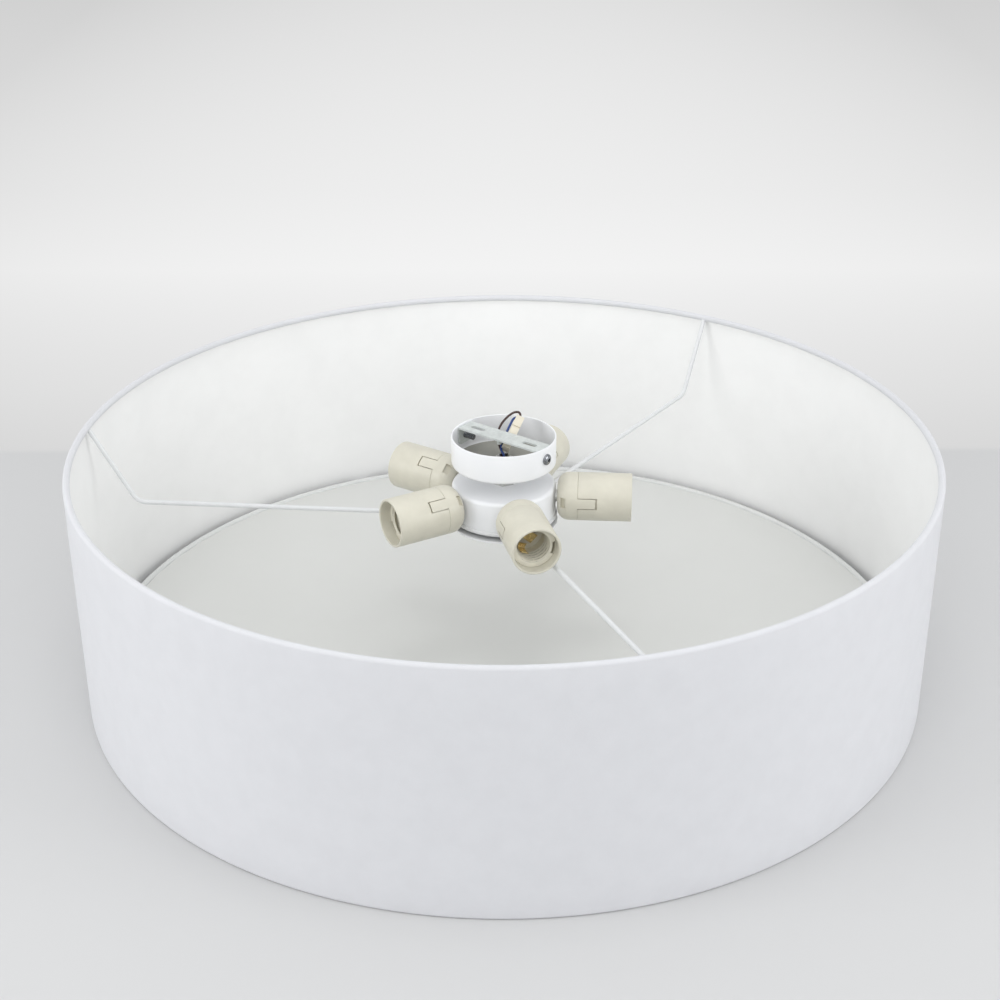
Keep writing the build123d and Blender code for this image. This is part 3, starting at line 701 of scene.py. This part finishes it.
def smooth_bar(name, points, radius):
    """A round bar on one smooth line that is drawn by its control points."""
    data = bpy.data.curves.new(name, "CURVE")
    data.dimensions, data.use_fill_caps = "3D", True
    data.bevel_depth, data.bevel_resolution, data.resolution_u = radius * MM, 6, 16
    line = data.splines.new("NURBS")
    line.points.add(len(points) - 1)
    for spot, point in zip(line.points, points):
        spot.co = (*(Vector(point) * MM), 1)
    line.order_u, line.use_endpoint_u = 3, True
    obj = bpy.data.objects.new(name, data)
    bpy.context.collection.objects.link(obj)
    return obj


def make_side_screws():
    """Two button-head screws, with a hexagon socket and a rolled thread."""
    head = [(SCREW_HEAD_R * cos(radians(a)), 0.9 + 1.9 * sin(radians(a))) for a in range(0, 81, 10)]
    ridges = []
    for ridge in range(SCREW_RIDGES):
        x = -0.6 - SCREW_LENGTH * ridge / SCREW_RIDGES
        ridges += [(2.5, x), (2.5, x - 0.15), (2.05, x - 0.45), (2.05, x - 0.6)]
    outline = [(0, 2.8)] + head[::-1] + [(SCREW_HEAD_R, 0.0), (2.5, 0.0)] + ridges
    outline += [(1.7, -SCREW_LENGTH - 0.4), (0, -SCREW_LENGTH - 0.4)]
    screw = lathe("screw", outline, 48, axis="X")
    socket = lathe("socket", [(0, 0.9), (1.7, 1.3), (1.73, 4), (0, 4)], 6, axis="X")
    screw = cut(screw, [socket])
    place = Matrix.Translation((CUP_R * MM, 0, SIDE_SCREW_Z * MM))
    screws = [
        placed_copy(screw, "screw", Matrix.Rotation(turn, 4, "Z") @ place) for turn in (0, pi)
    ]
    bpy.data.objects.remove(screw)
    dress(join("cup_screws", screws), "chrome", replaced=["side_screws"])


# ---------------------------------------------------------------- lampholders
def sector(name, low, high, inner, outer, half_turn, middle_turn=0.0, steps=10):
    """A closed piece of pipe wall along X, from one turn about it to another."""
    verts, faces = [], []
    for i in range(steps + 1):
        turn = middle_turn - half_turn + 2 * half_turn * i / steps
        for x, radius in ((low, inner), (low, outer), (high, outer), (high, inner)):
            verts.append((x, -radius * sin(turn), radius * cos(turn)))
    for i in range(steps):
        for k in range(4):
            m = (k + 1) % 4
            faces.append((4 * i + k, 4 * i + m, 4 * i + 4 + m, 4 * i + 4 + k))
    faces += [(0, 1, 2, 3), tuple(4 * steps + k for k in range(4))]
    return new_object(name, verts, faces)


def make_cap():
    corner = HOLDER_R - DOME_NECK_R
    outer = [(CAP_HOLE_R, HOLDER_BACK), (DOME_NECK_R, HOLDER_BACK)]
    for step in range(1, 13):
        turn = radians(90 * step / 12)
        outer.append((DOME_NECK_R + corner * sin(turn), HOLDER_BACK + corner * (1 - cos(turn))))
    outer += [(HOLDER_R, HOLDER_JOINT - 0.35), (HOLDER_R - 0.3, HOLDER_JOINT - 0.05)]
    inner = [(CAP_INNER_R, HOLDER_JOINT - 0.05), (CAP_INNER_R, HOLDER_BACK + 11),
             (12.0, HOLDER_BACK + CAP_WALL), (CAP_HOLE_R, HOLDER_BACK + CAP_WALL)]
    cap = lathe("cap", outer + inner, HOLDER_SIDES, axis="X")
    window = block("window", (-2.5, -4.25, -1.5), (2.5, 4.25, 3.0))
    window.data.transform(
        Matrix.Translation(Vector((HOLDER_BACK + corner * 0.55, 0, DOME_NECK_R + corner * 0.75)) * MM)
        @ Matrix.Rotation(radians(-35), 4, "Y")
    )
    cap = cut(cap, [window])
    half = asin(TONGUE_HALF / HOLDER_R)
    tongues = [
        sector("tongue", HOLDER_JOINT - 1.5, HOLDER_JOINT + TONGUE_LENGTH,
               CAP_INNER_R, HOLDER_R - 0.02, half, middle)
        for middle in (0.0, pi)
    ]
    return join("cap", [cap] + tongues)


def make_skirt():
    outline = rounded_profile(
        [(HOLDER_R, HOLDER_JOINT + 0.05), (HOLDER_R, HOLDER_MOUTH),
         (HOLDER_R - HOLDER_WALL, HOLDER_MOUTH), (HOLDER_R - HOLDER_WALL, HOLDER_JOINT + 0.05)],
        [0.3, 0.8, 0.6, 0.3], 4,
    )
    skirt = lathe("skirt", outline, HOLDER_SIDES, axis="X")
    half, end = TONGUE_HALF + TONGUE_SLIT, HOLDER_JOINT + TONGUE_LENGTH + TONGUE_END_SLIT
    windows = [
        block("window", (HOLDER_JOINT - 1, -half, low), (end, half, low + 7.5)) for low in (14.5, -22.0)
    ]
    return cut(skirt, windows)


def thread_depth(radius, x, turn):
    """The rounded screw thread of the shell, on the wall of the bore alone."""
    if abs(radius - SHELL_R) > 0.01 or not THREAD_START < x < THREAD_END:
        return radius
    wave = sin(2 * pi * (x / THREAD_PITCH - turn / (2 * pi)))
    return radius + THREAD_MEAN + THREAD_WAVE * wave


def make_insert():
    step = (SHELL_MOUTH - SHELL_FLOOR) / BORE_ROWS
    bore = [(SHELL_R, SHELL_FLOOR + step * i) for i in range(1, BORE_ROWS - 1)]
    outline = (
        [(0, INSERT_BACK), (INSERT_R, INSERT_BACK), (INSERT_R, SHELL_MOUTH), (SHELL_R + 1.1, SHELL_MOUTH),
         (SHELL_R + 0.5, SHELL_MOUTH - 0.35)]
        + list(reversed(bore)) + [(SHELL_R, SHELL_FLOOR), (0, SHELL_FLOOR)]
    )
    insert = lathe("insert", outline, HOLDER_SIDES, axis="X", radius_of=thread_depth, angle=60)
    slot = sector("slot", SHELL_MOUTH - 7, SHELL_MOUTH + 1, 15.0, 17.35, radians(18.5), pi)
    return cut(insert, [slot])


def strip(name, path, width, thick, turn):
    """A bent leaf whose line is given by (radius, x), turned about X from +Z."""
    path = rounded([(x, 0, r) for r, x in path], 1.2, 5)
    verts, faces = [], []
    for i, point in enumerate(path):
        along = (path[min(i + 1, len(path) - 1)] - path[max(i - 1, 0)]).normalized()
        side = Vector((along.z, 0, -along.x)) * (thick / 2)
        for y, across in ((-width / 2, -1), (width / 2, -1), (width / 2, 1), (-width / 2, 1)):
            verts.append(point + side * across + Vector((0, y, 0)))
    for i in range(len(path) - 1):
        for k in range(4):
            m = (k + 1) % 4
            faces.append((4 * i + k, 4 * i + m, 4 * i + 4 + m, 4 * i + 4 + k))
    last = 4 * (len(path) - 1)
    faces += [(0, 1, 2, 3), (last, last + 1, last + 2, last + 3)]
    obj = new_object(name, verts, faces)
    obj.data.transform(Matrix.Rotation(turn, 4, "X"))
    return obj


def make_contacts():
    """The sprung leaf on the floor of a shell and the angled one up its wall."""
    floor = SHELL_FLOOR + 0.35
    leaf = strip("leaf", [(-4.4, floor), (-2.6, floor + 2.3), (2.8, floor + 2.0), (8.6, floor + 0.2)],
                 8.2, 0.6, CENTER_LEAF_TURN)
    hole = lathe("hole", [(0, floor - 2), (0.7, floor - 2), (0.7, floor + 5), (0, floor + 5)], 20, axis="X")
    leaf = cut(leaf, [hole])
    side = strip("side", [(8.4, floor + 0.9), (10.0, floor), (13.0, floor), (12.9, floor + 7.5),
                          (11.6, floor + 11.5)], 6.0, 0.6, SIDE_CONTACT_TURN)
    return leaf, side


def make_lampholders():
    cap, skirt, insert = make_cap(), make_skirt(), make_insert()
    leaf, side_leaf = make_contacts()
    # The faces in the valleys of the thread, which get the painted groove shade
    least, most = ((SHELL_R + extra) * MM for extra in GROOVE_SHADE_R)
    grooves = [
        face.index for face in insert.data.polygons
        if THREAD_START * MM < face.center.x < THREAD_END * MM
        and least < Vector(face.center.yz).length < most
    ]
    leaves, side_leaves = [], []
    for number, (azimuth, roll) in enumerate(zip(HOLDER_AZIMUTHS, HOLDER_ROLLS), start=1):
        place = (
            Matrix.Rotation(radians(azimuth), 4, "Z")
            @ Matrix.Translation((0, 0, HOLDER_Z * MM))
            @ Matrix.Rotation(radians(roll), 4, "X")
        )
        for source, part, look in (
            (cap, "cap", "cream"), (skirt, "skirt", "cream"), (insert, "insert", "olive"),
        ):
            piece = placed_copy(source, f"lamp_{part}_{number}", place)
            dress(piece, look, replaced=[f"holder_{part}_{number}"])
            if part == "insert":
                # The thread's valleys take the darker copy of the plastic: painted shade
                piece.data.materials.append(looks["groove"])
                for face in grooves:
                    piece.data.polygons[face].material_index = 1
        leaves.append(placed_copy(leaf, "leaf", place))
        side_leaves.append(placed_copy(side_leaf, "side", place))
    for source in (cap, skirt, insert, leaf, side_leaf):
        bpy.data.objects.remove(source)
    dress(join("shell_leaves", leaves), "brass", replaced=["center_contacts"])
    dress(join("side_leaves", side_leaves), "brass", replaced=["side_contacts"])


# ---------------------------------------------------------------- diffuser
def make_diffuser():
    bead = tube("diffuser_bead", circle(DIFFUSER_R - BEAD_R, DIFFUSER_Z, 240), BEAD_R, closed=True)
    dress(bead, "wrap", DIFFUSER, ["diffuser_ring"])
    paint_node("diffuser_disc", "sheet")


make_camera()
make_stage()
make_light()
make_shade()
make_spider()
make_hub()
make_lampholders()
make_diffuser()
